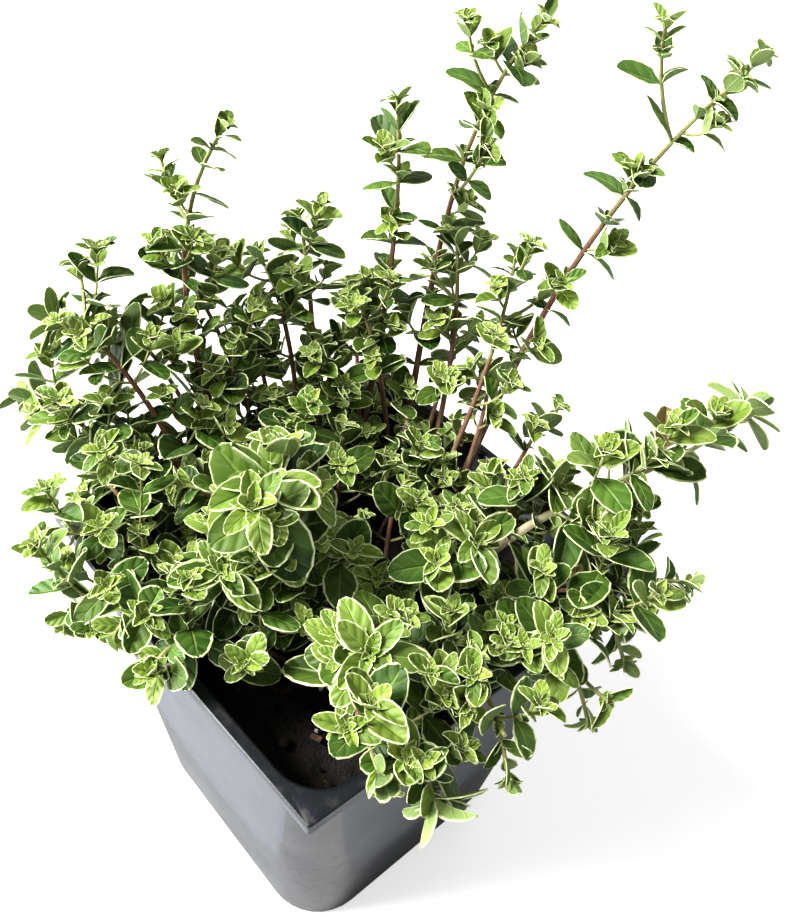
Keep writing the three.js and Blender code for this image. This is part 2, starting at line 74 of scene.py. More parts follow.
# how near a shoot and a leaf may come to the pot
SHOOT_ROOM = 1.5
LEAF_ROOM = 0.8
# the bare corner for watering: right of X and in front of Y, in the pot and then over its rim
BARE_X, BARE_Y = 17, -27
BARE_RIM_X, BARE_RIM_Y, BARE_RIM_RISE = 19, -35, 4
MIX_GRID = 1.1
MIX_EDGE = 2.5

# Each stem's foot on the soil, its bends and tip with Z above the rim, then its girth, the length of
# a full leaf, how much of it carries leaves, how many side shoots it has, and their length.
SPRIGS = {
    "back_tall": ((-14, 26), ((-24, 46, 10), (-54, 66, 60),), (-31, 76, 98), 2.2, 11, 92, 5, 20),
    "back_right_tall": ((2, 31), ((-12, 62, 20), (-10, 84, 62),), (9, 96, 95), 2.2, 11, 80, 5, 20),
    "back_top": ((-24, 22), ((-44, 46, 16), (-34, 42, 52),), (-46, 47, 80), 2, 10, 66, 4, 18),
    "left_tall": ((-30, -4), ((-48, -14, 30), (-78, 0, 46),), (-66, 13, 74), 2, 10, 60, 3, 16),
    "left_far": ((-34, -15), ((-52, -24, 40),), (-70, -32, 36), 1.8, 9, 34, 2, 12),
    "left_low": ((-32, -24), ((-54, -34, 24),), (-78, -42, 12), 1.6, 10, 32, 2, 12),
    "left_middle": ((-33, -10), ((-50, -14, 36),), (-76, -18, 28), 1.6, 9, 30, 2, 12),
    "rear_left_far": ((-34, 3), ((-50, 2, 36),), (-75, 1, 38), 1.6, 9, 32, 2, 12),
    "rear_1": ((-28, 14), ((-50, 28, 30),), (-64, 33, 46), 1.8, 9, 36, 2, 12),
    "rear_2": ((-34, 13), ((-48, 20, 34),), (-70, 24, 34), 1.6, 9, 30, 2, 12),
    "rear_3": ((-32, 6), ((-52, 12, 26),), (-62, 12, 26), 1.5, 8, 26, 1, 10),
    "rear_4": ((-17, 31), ((-36, 40, 20),), (-42, 34, 34), 1.6, 9, 30, 2, 12),
    "rear_5": ((-20, 14), ((-36, 24, 14),), (-42, 25, 22), 1.5, 9, 26, 1, 10),
    "rear_6": ((-30, 30), ((-50, 44, 10),), (-60, 48, 22), 1.5, 9, 28, 2, 11),
    "back_1": ((-8, 32), ((-20, 54, 26),), (-32, 58, 48), 1.8, 10, 36, 2, 12),
    "back_2": ((-2, 24), ((-4, 50, 26),), (-20, 68, 46), 1.8, 9, 34, 2, 12),
    "back_3": ((6, 26), ((-2, 48, 22),), (-12, 56, 18), 1.5, 9, 26, 1, 10),
    "back_4": ((12, 31), ((8, 54, 16),), (4, 64, 8), 1.5, 9, 26, 1, 10),
    "back_5": ((-11, 32), ((-20, 46, 24),), (-26, 62, 18), 1.5, 9, 26, 1, 10),
    "inner_back": ((-8, 18), ((-10, 30, 2),), (-14, 37, 4), 1.4, 9, 22, 1, 9),
    "inner_centre": ((4, 10), ((-2, 14, 4),), (-2, 20, 8), 1.4, 8, 22, 1, 9),
    "inner_rear": ((-12, 8), ((-20, 12, 6),), (-22, 16, 12), 1.4, 9, 24, 1, 9),
    "inner_left": ((-22, 2), ((-34, 6, 14),), (-38, 8, 14), 1.5, 9, 24, 1, 9),
    "left_1": ((-25, 0), ((-40, -2, 20),), (-53, -5, 8), 1.5, 9, 26, 1, 10),
    "left_2": ((-21, -20), ((-38, -22, 12),), (-54, -22, 8), 1.5, 9, 26, 1, 10),
    "left_3": ((-16, -14), ((-22, -22, 16),), (-28, -26, 12), 1.5, 9, 26, 1, 10),
    "left_4": ((-24, -32), ((-40, -38, 12),), (-50, -38, 6), 1.5, 9, 26, 1, 10),
    "rim_left_1": ((-22, -24), ((-30, -46, 14),), (-38, -56, 5), 1.5, 9, 28, 1, 10),
    "rim_left_2": ((-13, -30), ((-20, -52, 16),), (-20, -63, -2), 1.5, 9, 28, 1, 10),
    "rim_left_3": ((-4, -30), ((-8, -48, 14),), (-8, -57, 3), 1.5, 9, 26, 1, 9),
    "rim_left_4": ((5, -33), ((3, -46, 12),), (4, -54, 4), 1.4, 9, 22, 1, 9),
    "near_tall": ((-4, -8), ((-2, -20, 20),), (2, -24, 36), 2, 13, 36, 2, 12),
    "near_1": ((-5, -20), ((-2, -34, 10),), (2, -36, 18), 1.6, 10, 26, 1, 10),
    "near_2": ((6, -3), ((6, -12, 8),), (8, -14, 14), 1.5, 10, 24, 1, 10),
    "near_3": ((10, -24), ((13, -34, 4),), (16, -39, 5), 1.4, 9, 22, 1, 9),
    "near_4": ((8, -15), ((14, -20, 4),), (17, -25, 8), 1.4, 10, 22, 1, 9),
    "front_rosette": ((19, -9), ((30, -20, 6),), (36, -25, 18), 1.8, 12, 26, 1, 10),
    "front_1": ((22, -17), ((36, -30, 12),), (52, -35, 6), 1.6, 12, 26, 1, 10),
    "front_2": ((30, -14), ((46, -24, 14),), (60, -27, -2), 1.6, 11, 28, 1, 10),
    "front_3": ((26, -6), ((44, -14, 6),), (54, -15, 13), 1.6, 10, 28, 2, 11),
    "front_4": ((30, -3), ((46, -5, 26),), (66, -12, -3), 1.5, 10, 28, 1, 10),
    "middle_1": ((15, 5), ((24, 4, 14),), (31, 7, 24), 1.7, 11, 30, 2, 11),
    "middle_2": ((16, 16), ((22, 28, 16),), (30, 34, 23), 1.7, 10, 30, 2, 11),
    "middle_3": ((32, 6), ((42, 6, 2),), (45, 5, 12), 1.5, 9, 24, 1, 10),
    "arching_right": ((24, 1), ((27, 20, 34), (44, 48, 20),), (46, 81, 33), 2.8, 12, 74, 5, 16),
    "right_1": ((22, 26), ((36, 44, 10),), (50, 47, 4), 1.5, 9, 28, 1, 10),
    "right_2": ((32, 15), ((48, 30, 16),), (62, 48, 10), 1.6, 10, 32, 2, 12),
    "rim_right_1": ((31, 22), ((46, 28, 26),), (62, 31, -6), 1.5, 10, 28, 1, 10),
    "rim_right_2": ((33, 10), ((48, 14, 28),), (66, 15, -10), 1.5, 10, 30, 1, 10),}

UP = (0.0, 0.0, 1.0)


# ---------------------------------------------------------------- plain vectors and the dice
def plus(a, b, times=1.0):
    return (a[0] + b[0] * times, a[1] + b[1] * times, a[2] + b[2] * times)


def scaled(a, by):
    return (a[0] * by, a[1] * by, a[2] * by)


def dot(a, b):
    return a[0] * b[0] + a[1] * b[1] + a[2] * b[2]


def cross(a, b):
    return (a[1] * b[2] - a[2] * b[1], a[2] * b[0] - a[0] * b[2], a[0] * b[1] - a[1] * b[0])


def unit(a):
    return scaled(a, 1 / math.sqrt(dot(a, a)))


def between(a, b, t):
    return plus(scaled(a, 1 - t), b, t)


def dice(seed):
    """A repeatable die: the same seed always gives the same plant."""
    state = [seed]

    def draw():
        state[0] = state[0] * 48271 % 2147483647
        return state[0] / 2147483647

    return draw


# ---------------------------------------------------------------- how a sprig grows
def along_curve(points, t):
    row = list(points)
    while len(row) > 1:
        row = [between(a, b, t) for a, b in zip(row, row[1:])]
    return row[0]


def heading(points, t):
    return unit(plus(along_curve(points, t + 0.01), along_curve(points, t - 0.01), -1))


def curve_length(points):
    marks = [along_curve(points, i / 20) for i in range(21)]
    return sum(math.dist(a, b) for a, b in zip(marks, marks[1:]))


def grow(points, leaf, leafy, shoots, shoot, seed, bare=8):
    """Pairs of opposite leaves from the tip down, and side shoots from the axils of some pairs."""
    draw = dice(seed)
    length = curve_length(points)
    level = unit(cross(plus(points[-1], points[0], -1), UP))
    leaves, branches = [], []
    gap = from_tip = FIRST_GAP
    pair = 0
    while from_tip < min(leafy, length - bare):
        t = 1 - from_tip / length
        base, up = along_curve(points, t), heading(points, t)
        across = unit(plus(level, up, -dot(level, up)))
        around = cross(up, across)
        turn = pair * (math.pi / 2) + 0.6 + (draw() - 0.5) * 0.6
        spread = math.radians(min(78, 34 + 13 * pair) + 18 * (draw() - 0.5))
        size = leaf * min(1, 0.4 + 0.2 * pair) * (0.85 + 0.3 * draw())
        out = plus(scaled(across, math.cos(turn)), around, math.sin(turn))
        for side in (1, -1):
            along = unit(plus(scaled(up, math.cos(spread)), out, side * math.sin(spread)))
            face = plus(up, UP, 0.8)
            face = unit(plus(face, along, -dot(face, along)))
            leaves.append({"base": base, "along": along, "face": face, "length": size, "pair": pair,
                           "stem": up, "out": scaled(out, side)})
        shoot_length = shoot * (0.7 + 0.5 * draw())
        shoot_side = 1 if draw() < 0.5 else -1
        if pair > 2 and len(branches) < shoots and shoot_length > 0:
            knee = plus(base, out, shoot_side * shoot_length * 0.55)
            knee = plus(knee, up, shoot_length * 0.3)
            end = plus(base, out, shoot_side * shoot_length * 0.75)
            end = plus(plus(end, up, shoot_length * 0.6), UP, shoot_length * 0.2)
            branches.append((base, knee, end))
        gap = min(gap * GAP_GROWTH, LONGEST_GAP)
        from_tip += gap
        pair += 1
    return leaves, branches


def laterals(points, reach, spacing, start, draw):
    """Short leafy shoots from the axils lower down, each bending up to the light."""
    length = curve_length(points)
    level = unit(cross(plus(points[-1], points[0], -1), UP))
    made = []
    at, station = start, 0
    while at < length - 9:
        t = at / length
        base, up = along_curve(points, t), heading(points, t)
        across = unit(plus(level, up, -dot(level, up)))
        around = cross(up, across)
        turn = station * (math.pi / 2) + 0.9 * draw()
        out = plus(scaled(across, math.cos(turn)), around, math.sin(turn))
        for side in (1, -1):
            long = reach * (0.55 + 0.75 * draw())
            wanted = draw() < 0.86
            knee = plus(plus(base, out, side * long * 0.5), up, long * 0.18)
            end = plus(plus(base, out, side * long * 0.72), up, long * 0.28)
            end = plus(end, UP, long * (0.25 + 0.45 * draw()))
            if wanted and all(clear_of_pot(point) for point in (knee, end)):
                made.append((base, knee, end))
        at += spacing * (0.75 + 0.5 * draw())
        station += 1
    return made


def clear_of_pot(point, room=SHOOT_ROOM):
    """Is this place clear of the pot's wall and rim, the soil, and the gap left for watering?"""
    x, y, z = point
    if z > RIM_Z + room:
        return not (x > BARE_RIM_X and y < BARE_RIM_Y and z < RIM_Z + BARE_RIM_RISE)
    out = max(abs(x), abs(y))
    if x > BARE_X and y < BARE_Y:
        return out > RIM_HALF + SIDE_BOW + room
    inside = wall_at(max(z, 0))[0] - WALL - room - LIP_RADIUS * (z > RIM_Z - 4)
    return z > SOIL_Z + 1 and (out < inside or out > RIM_HALF + SIDE_BOW + room)


def leaf_is_clear(leaf):
    across = cross(leaf["face"], leaf["along"])
    half = leaf["length"] * 0.3
    middle = plus(leaf["base"], leaf["along"], leaf["length"] * 0.5)
    spots = [plus(leaf["base"], leaf["along"], leaf["length"]), middle, plus(middle, across, half),
             plus(middle, across, -half)]
    return all(clear_of_pot(spot, LEAF_ROOM) for spot in spots)


# ---------------------------------------------------------------- working by hand, in code
def deselect_all():
    if bpy.context.object and bpy.context.object.mode != "OBJECT":
        bpy.ops.object.mode_set(mode="OBJECT")
    bpy.ops.object.select_all(action="DESELECT")


def only(piece):
    deselect_all()
    piece.select_set(True)
    bpy.context.view_layer.objects.active = piece
    return piece


def new_piece(name):
    piece = bpy.context.object
    piece.name = piece.data.name = name
    return piece


def edit(piece):
    only(piece)
    bpy.ops.object.mode_set(mode="EDIT")
    bpy.ops.mesh.select_mode(type="VERT")
    bpy.ops.mesh.select_all(action="DESELECT")
    return bmesh.from_edit_mesh(piece.data)


def leave_edit():
    bpy.ops.object.mode_set(mode="OBJECT")


def select_points(mesh, points):
    bpy.ops.mesh.select_all(action="DESELECT")
    for point in points:
        point.select = True
    mesh.select_flush_mode()


def shift(mesh, points, by):
    if Vector(by).length > 1e-9:
        select_points(mesh, points)
        bpy.ops.transform.translate(value=by)


def stretch(mesh, points, by, centre):
    select_points(mesh, points)
    bpy.ops.transform.resize(value=by, center_override=centre)


def finish_with(piece, kind, **settings):
    only(piece)
    modifier = piece.modifiers.new(kind.title(), kind)
    for name, value in settings.items():
        setattr(modifier, name, value)
    bpy.ops.object.modifier_apply(modifier=modifier.name)


def smooth(piece, sharpest):
    """Smooth shading, except over edges sharper than this many degrees."""
    only(piece)
    bpy.ops.object.shade_smooth_by_angle(angle=math.radians(sharpest))


def settle(piece):
    only(piece)
    bpy.ops.object.transform_apply(location=True, rotation=True, scale=True)
    return piece


def merged_copy(node, name):
    """A copy of a CAD node with its loose triangles merged."""
    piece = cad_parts[node].copy()
    piece.data = piece.data.copy()
    bpy.context.scene.collection.objects.link(piece)
    piece.parent = None
    for key in list(piece.keys()):
        del piece[key]
    piece.name = piece.data.name = name
    edit(piece)
    bpy.ops.mesh.select_all(action="SELECT")
    bpy.ops.mesh.remove_doubles(threshold=1e-6)
    leave_edit()
    return piece


def join_all(parts, name):
    deselect_all()
    for part in parts:
        part.select_set(True)
    bpy.context.view_layer.objects.active = parts[0]
    bpy.ops.object.join()
    return new_piece(name)


def stands_for(piece, slot, *nodes):
    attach(piece, "root")
    if nodes:
        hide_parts(*nodes)
    return piece


# ---------------------------------------------------------------- nodes of a material
def plug(tree, made, inputs):
    """Links what comes from another node, and sets what is a plain value."""
    for name, value in inputs.items():
        if isinstance(value, bpy.types.NodeSocket):
            tree.links.new(value, made.inputs[name])
        else:
            made.inputs[name].default_value = value
    return made


def node(tree, kind, inputs=None, **settings):
    made = tree.nodes.new(kind)
    for name, value in settings.items():
        setattr(made, name, value)
    return plug(tree, made, inputs or {})


def figure(tree, operation, a, b=None, c=None):
    inputs = {i: v for i, v in enumerate((a, b, c)) if v is not None}
    return node(tree, "ShaderNodeMath", inputs, operation=operation).outputs[0]


def times(tree, a, b):
    return figure(tree, "MULTIPLY", a, b)


def mixed(tree, share, a, b):
    return node(tree, "ShaderNodeMix", {0: share, 6: a, 7: b}, data_type="RGBA").outputs[2]


def eased(tree, value, low, high, to_low=0.0, to_high=1.0):
    inputs = {"Value": value, "From Min": low, "From Max": high, "To Min": to_low, "To Max": to_high}
    return node(tree, "ShaderNodeMapRange", inputs, interpolation_type="SMOOTHSTEP").outputs[0]


def noise(tree, place, scale, detail=3.0, roughness=0.55):
    inputs = {"Vector": place, "Scale": scale, "Detail": detail, "Roughness": roughness}
    return node(tree, "ShaderNodeTexNoise", inputs).outputs["Fac"]


def new_group(name, takes, gives):
    group = bpy.data.node_groups.new(name, "ShaderNodeTree")
    for way, sockets in (("INPUT", takes), ("OUTPUT", gives)):
        for socket, (kind, start) in sockets.items():
            made = group.interface.new_socket(name=socket, in_out=way, socket_type="NodeSocket" + kind)
            if start is not None:
                made.default_value = start
    return group, group.nodes.new("NodeGroupInput").outputs, group.nodes.new("NodeGroupOutput").inputs


def use(tree, group, inputs):
    made = tree.nodes.new("ShaderNodeGroup")
    made.node_tree = group
    return plug(tree, made, inputs).outputs


def link_all(tree, into, sockets):
    for name, socket in sockets.items():
        tree.links.new(socket, into[name])
    return tree


def new_material(name):
    material = bpy.data.materials.new(name)
    material.use_nodes = True
    tree = material.node_tree
    return material, tree, tree.nodes["Principled BSDF"].inputs


def bump(tree, height, strength, distance):
    inputs = {"Height": height, "Strength": strength, "Distance": distance}
    return node(tree, "ShaderNodeBump", inputs).outputs[0]


def object_place(tree):
    return node(tree, "ShaderNodeTexCoord").outputs["Object"]


def rgb(red, green, blue):
    return (red, green, blue, 1.0)


# ---------------------------------------------------------------- shared effects
def speckle_group():
    """Fine grain, broad mottling and settled dust, from a place and a scale."""
    takes = {"Place": ("Vector", None), "Grain Scale": ("Float", 2500.0), "Mottle Scale": ("Float", 60.0)}
    gives = {"Grain": ("Float", None), "Mottle": ("Float", None), "Dust": ("Float", None)}
    group, given, result = new_group("Grain and Dust", takes, gives)
    grain = noise(group, given["Place"], given["Grain Scale"], 2.0)
    mottle = noise(group, given["Place"], given["Mottle Scale"], 4.0, 0.6)
    fleck = noise(group, given["Place"], times(group, given["Mottle Scale"], 9.0), 3.0)
    upward = node(group, "ShaderNodeSeparateXYZ",
                  {0: node(group, "ShaderNodeNewGeometry").outputs["Normal"]}).outputs["Z"]
    lying = eased(group, upward, -0.2, 0.9, 0.25, 1.0)
    dust = times(group, eased(group, fleck, 0.48, 0.72), eased(group, mottle, 0.35, 0.65))
    dust = times(group, dust, lying)
    return link_all(group, result, {"Grain": grain, "Mottle": mottle, "Dust": dust})


def leaf_marks_group():
    """Where a leaf has its pale margin, its midrib and its side veins, in the blade's own map."""
    takes = {"Margin": ("Float", 0.05), "Lot": ("Float", 0.5)}
    gives = {"Edge": ("Float", None), "Midrib": ("Float", None), "Veins": ("Float", None),
             "Patch": ("Float", None), "Relief": ("Float", None)}
    group, given, result = new_group("Leaf Marks", takes, gives)
    blade = node(group, "ShaderNodeUVMap", uv_map="blade").outputs[0]
    parts = node(group, "ShaderNodeSeparateXYZ", {0: blade}).outputs
    far, side = parts["X"], parts["Y"]
    across = figure(group, "ABSOLUTE", figure(group, "MULTIPLY_ADD", side, 2.0, -1.0))
    # a lot's own corner of the noise, so that no two leaves share a pattern
    lot = times(group, given["Lot"], 37.0)
    corner = node(group, "ShaderNodeCombineXYZ", {0: far, 1: side, 2: lot}).outputs[0]
    ragged = noise(group, corner, 4.5, 2.5, 0.6)
    broad = noise(group, corner, 1.6, 1.0)
    # half width of the blade at this place, as a share of its length
    full = times(group, far, figure(group, "SUBTRACT", 1.02, far))
    full = times(group, full, 1.15)
    inward = times(group, figure(group, "SUBTRACT", 1.0, across), full)
    reach = times(group, given["Margin"], eased(group, ragged, 0.25, 0.75, 0.35, 1.75))
    edge = eased(group, figure(group, "SUBTRACT", reach, inward), -0.012, 0.008)
    midrib = times(group, eased(group, across, 0.10, 0.02), eased(group, far, 0.97, 0.7))
    slant = figure(group, "MULTIPLY_ADD", across, -1.15, times(group, far, 4.6))
    wave = figure(group, "PINGPONG", slant, 0.5)
    veins = times(group, eased(group, wave, 0.10, 0.02), eased(group, across, 0.95, 0.55))
    puffed = figure(group, "MULTIPLY_ADD", eased(group, wave, 0.0, 0.4), 0.6, 0.0)
    relief = figure(group, "SUBTRACT", puffed, times(group, midrib, 1.2))
    return link_all(group, result, {"Edge": edge, "Midrib": midrib, "Veins": veins, "Patch": broad,
                                    "Relief": relief})


SPECKLE = speckle_group()
LEAF_MARKS = leaf_marks_group()


# ---------------------------------------------------------------- materials
def pot_plastic():
    material, tree, shader = new_material("satin black pot plastic")
    place = object_place(tree)
    speckle = use(tree, SPECKLE, {"Place": place, "Grain Scale": 2600.0, "Mottle Scale": 45.0})
    parts = node(tree, "ShaderNodeSeparateXYZ", {0: place}).outputs
    # outside, the walls are scuffed and rougher, and painted a lighter grey as painted sheen for the bright
    # floor they reflect; it darkens up to the ledge
    outer = figure(tree, "MAXIMUM", *(figure(tree, "ABSOLUTE", parts[axis]) for axis in "XY"))
    wall_here = figure(tree, "MULTIPLY_ADD", parts["Z"], (RIM_HALF - LEDGE_WIDTH - BASE_HALF) / POT_HEIGHT,
                       (BASE_HALF + 0.4) * MM)
    outside = eased(tree, figure(tree, "SUBTRACT", outer, wall_here), 0.0, 0.0003)
    below = eased(tree, parts["Z"], (RIM_Z - 0.6) * MM, (RIM_Z - 1.6) * MM)
    sheen_and_scuff_coat = times(tree, outside, below)
    streak = node(tree, "ShaderNodeMapping", {"Vector": place, "Scale": (1.0, 1.0, 0.12)}).outputs[0]
    streaks = noise(tree, streak, 420.0, 3.0, 0.65)
    dark = mixed(tree, speckle["Mottle"], rgb(0.006, 0.007, 0.010), rgb(0.011, 0.013, 0.018))
    # painted sheen: the outer grey is many times lighter than the same plastic inside, partly real scuffing
    sheen_and_scuff_grey = mixed(tree, streaks, rgb(0.072, 0.076, 0.088), rgb(0.081, 0.086, 0.099))
    base = mixed(tree, sheen_and_scuff_coat, dark, sheen_and_scuff_grey)
    soiled = times(tree, speckle["Dust"], 0.16)
    base = mixed(tree, soiled, base, rgb(0.16, 0.13, 0.10))
    tree.links.new(base, shader["Base Color"])
    rough = eased(tree, speckle["Mottle"], 0.2, 0.8, 0.30, 0.38)
    rough = figure(tree, "ADD", rough, times(tree, sheen_and_scuff_coat, 0.19))
    rough = figure(tree, "ADD", rough, times(tree, speckle["Dust"], 0.3))
    tree.links.new(rough, shader["Roughness"])
    tree.links.new(bump(tree, speckle["Grain"], 0.10, 0.0002), shader["Normal"])
    return material


def soil_material(name, dark, light, scale):
    material, tree, shader = new_material(name)
    place = object_place(tree)
    speckle = use(tree, SPECKLE, {"Place": place, "Grain Scale": scale * 5, "Mottle Scale": scale})
    fibre = node(tree, "ShaderNodeMapping", {"Vector": place, "Scale": (1.0, 0.2, 1.0)}).outputs[0]
    fibres = noise(tree, fibre, scale * 4, 3.0, 0.7)
    base = mixed(tree, eased(tree, speckle["Mottle"], 0.3, 0.7), dark, light)
    pale = rgb(*(min(1, part * 1.7) for part in light[:3]))
    base = mixed(tree, eased(tree, fibres, 0.56, 0.72), base, pale)
    tree.links.new(base, shader["Base Color"])
    tree.links.new(eased(tree, speckle["Grain"], 0.3, 0.7, 0.75, 0.97), shader["Roughness"])
    height = figure(tree, "ADD", speckle["Grain"], fibres)
    tree.links.new(bump(tree, height, 0.7, 0.0006), shader["Normal"])
    return material


def leaf_readings(tree):
    """A leaf's own tone and youth, and the marks that go with its margin."""
    traits = node(tree, "ShaderNodeAttribute", attribute_name="traits").outputs["Vector"]
    tone, youth, margin = node(tree, "ShaderNodeSeparateXYZ", {0: traits}).outputs
    return tone, youth, use(tree, LEAF_MARKS, {"Margin": margin, "Lot": tone})


def leaf_upper():
    material, tree, shader = new_material("leaf upper side")
    tone, youth, marks = leaf_readings(tree)
    green = mixed(tree, tone, rgb(0.004, 0.030, 0.003), rgb(0.066, 0.143, 0.018))
    green = mixed(tree, eased(tree, marks["Patch"], 0.45, 0.68, 0.0, 0.34), green, rgb(0.13, 0.22, 0.040))
    fresh = mixed(tree, marks["Patch"], rgb(0.26, 0.39, 0.038), rgb(0.43, 0.53, 0.115))
    green = mixed(tree, youth, green, fresh)
    green = mixed(tree, times(tree, marks["Midrib"], 0.42), green, rgb(0.30, 0.44, 0.11))
    green = mixed(tree, times(tree, marks["Veins"], 0.16), green, rgb(0.24, 0.36, 0.10))
    cream = mixed(tree, marks["Patch"], rgb(0.58, 0.67, 0.27), rgb(0.78, 0.82, 0.56))
    base = mixed(tree, marks["Edge"], green, cream)
    # a withered leaf is marked by a youth below nought
    brown = mixed(tree, marks["Patch"], rgb(0.15, 0.085, 0.030), rgb(0.34, 0.24, 0.085))
    base = mixed(tree, eased(tree, youth, -0.3, -0.7, 0.0, 0.8), base, brown)
    tree.links.new(base, shader["Base Color"])
    tree.links.new(eased(tree, marks["Patch"], 0.2, 0.8, 0.40, 0.58), shader["Roughness"])
    shader["Specular IOR Level"].default_value = 0.3
    tree.links.new(bump(tree, marks["Relief"], 0.45, 0.0006), shader["Normal"])
    return material


def leaf_underside():
    material, tree, shader = new_material("leaf underside")
    tone, youth, marks = leaf_readings(tree)
    green = mixed(tree, tone, rgb(0.10, 0.17, 0.055), rgb(0.19, 0.27, 0.10))
    green = mixed(tree, youth, green, rgb(0.34, 0.44, 0.14))
    raised = figure(tree, "MAXIMUM", marks["Midrib"], times(tree, marks["Veins"], 0.6))
    green = mixed(tree, times(tree, raised, 0.6), green, rgb(0.38, 0.46, 0.24))
    base = mixed(tree, marks["Edge"], green, rgb(0.66, 0.68, 0.36))
    tree.links.new(base, shader["Base Color"])
    tree.links.new(eased(tree, marks["Patch"], 0.2, 0.8, 0.55, 0.7), shader["Roughness"])
    shader["Specular IOR Level"].default_value = 0.2
    tree.links.new(bump(tree, raised, 0.5, 0.0004), shader["Normal"])
    return material


def stem_bark(name, young, ruddy, woody):
    material, tree, shader = new_material(name)
    place = object_place(tree)
    age = node(tree, "ShaderNodeAttribute", attribute_name="age").outputs["Fac"]
    patchy = noise(tree, place, 260.0, 3.0, 0.6)
    fine = noise(tree, place, 1800.0, 2.0)
    shifted = figure(tree, "ADD", age, figure(tree, "MULTIPLY_ADD", patchy, 0.5, -0.25))
    young, ruddy, woody = (mixed(tree, patchy, dark, light) for dark, light in (young, ruddy, woody))
    base = mixed(tree, eased(tree, shifted, 0.12, 0.45), young, ruddy)
    base = mixed(tree, eased(tree, shifted, 0.5, 0.9), base, woody)
    tree.links.new(base, shader["Base Color"])
    tree.links.new(eased(tree, fine, 0.3, 0.7, 0.55, 0.8), shader["Roughness"])
    tree.links.new(bump(tree, figure(tree, "ADD", fine, patchy), 0.5, 0.0003), shader["Normal"])
    return material


# ---------------------------------------------------------------- the pot
def wall_at(z):
    share = z / RIM_Z
    half = BASE_HALF + (RIM_HALF - LEDGE_WIDTH + WALL - BASE_HALF) * share
    return half, BASE_CORNER + (MOUTH_CORNER + WALL - BASE_CORNER) * share, z


def inset(ring, by):
    return ring[0] - by, max(ring[1] - by, 0.5), ring[2]


def pot_rings():
    """Half width, corner radius and height of each outline, from the underside out, up and in."""
    ledge_bottom = RIM_Z - LEDGE_THICK
    mouth = inset(wall_at(RIM_Z), WALL)
    rings = [(BASE_HALF - FOOT_ROUND, BASE_CORNER - FOOT_ROUND, 0)]
    for step in (1, 2, 3, 4):
        angle = math.radians(90 * step / 4)
        foot = inset(wall_at(FOOT_ROUND * (1 - math.cos(angle))), FOOT_ROUND * (1 - math.sin(angle)))
        rings.append(foot)
    rings += [wall_at(z) for z in (20, 40, 60, 80, ledge_bottom - 0.5)]
    rings.append(inset(wall_at(ledge_bottom), -0.5))
    rings.append((RIM_HALF - SKIRT_THICK, RIM_CORNER, ledge_bottom))
    rings.append((RIM_HALF - SKIRT_THICK, RIM_CORNER, RIM_Z - SKIRT_DROP))
    rings.append((RIM_HALF, RIM_CORNER, RIM_Z - SKIRT_DROP))
    rings.append((RIM_HALF, RIM_CORNER, RIM_Z - 0.3))
    rings.append((RIM_HALF - 0.3, RIM_CORNER, RIM_Z))
    for step in range(5):
        angle = math.radians(90 * step / 4)
        out = LIP_RADIUS * (1 - math.sin(angle))
        rings.append((mouth[0] + out, mouth[1] + out, RIM_Z - LIP_RADIUS * (1 - math.cos(angle))))
    rings += [inset(wall_at(z), WALL) for z in (75, 50, 25)]
    for step in range(4):
        angle = math.radians(90 * step / 3)
        lift = FLOOR + FOOT_ROUND * (1 - math.sin(angle))
        rings.append(inset(wall_at(lift), WALL + FOOT_ROUND * (1 - math.cos(angle))))
    return rings


def build_pot(material):
    rings = [tuple(value * MM for value in ring) for ring in pot_rings()]
    half, corner, z = rings[0]
    deselect_all()
    bpy.ops.mesh.primitive_plane_add(size=2 * half, location=(0, 0, z))
    pot = settle(new_piece("pot_shell"))
    edit(pot)
    bpy.ops.mesh.select_all(action="SELECT")
    bpy.ops.mesh.bevel(offset=corner, segments=8, affect="VERTICES")
    bpy.ops.mesh.select_all(action="DESELECT")
    bpy.ops.mesh.select_mode(type="EDGE")
    mesh = bmesh.from_edit_mesh(pot.data)
    for edge in mesh.edges:
        edge.select = edge.calc_length() > 0.03
    bpy.ops.mesh.subdivide(number_cuts=5)
    bpy.ops.mesh.select_mode(type="FACE")
    bpy.ops.mesh.select_all(action="SELECT")
    for old, new in zip(rings, rings[1:]):
        bpy.ops.mesh.extrude_region_move(TRANSFORM_OT_translate={"value": (0, 0, new[2] - old[2])})
        mesh = bmesh.from_edit_mesh(pot.data)
        cap = [face for face in mesh.faces if face.select][0]
        mesh.faces.index_update()
        ring_points = list(cap.verts)
        straight = (old[0] - old[1], new[0] - new[1])
        bpy.ops.mesh.select_mode(type="VERT")
        for way in (1, -1):
            for axis in (0, 1):
                side = [v for v in ring_points if v.co[axis] * way > old[0] - 1e-6
                        and abs(v.co[1 - axis]) < straight[0] - 1e-5]
                by = [0, 0, 0]
                by[axis] = way * (new[0] - old[0])
                shift(mesh, side, by)
                by = [1, 1, 1]
                by[1 - axis] = straight[1] / straight[0]
                stretch(mesh, side, by, (0, 0, 0))
        for right in (1, -1):
            for back in (1, -1):
                bend = [v for v in ring_points if v.co.x * right > straight[0] - 1e-5
                        and v.co.y * back > straight[0] - 1e-5
                        and math.hypot(v.co.x - right * straight[0],
                                       v.co.y - back * straight[0]) < old[1] + 1e-5]
                moved = straight[1] - straight[0]
                shift(mesh, bend, (right * moved, back * moved, 0))
                size = new[1] / old[1]
                stretch(mesh, bend, (size, size, 1), (right * straight[1], back * straight[1], 0))
        bpy.ops.mesh.select_all(action="DESELECT")
        bpy.ops.mesh.select_mode(type="FACE")
        for face in mesh.faces:
            face.select = len(face.verts) > 20 and abs(face.calc_center_median().z - new[2]) < 1e-7 \
                and all(v in ring_points for v in face.verts)
    bpy.ops.mesh.select_all(action="SELECT")
    bpy.ops.mesh.normals_make_consistent(inside=False)
    leave_edit()
    swell_sides(pot)
    drill_drains(pot)
    smooth(pot, 40)
    pot.data.materials.append(material)
    return stands_for(pot, "pot_plastic", "pot")


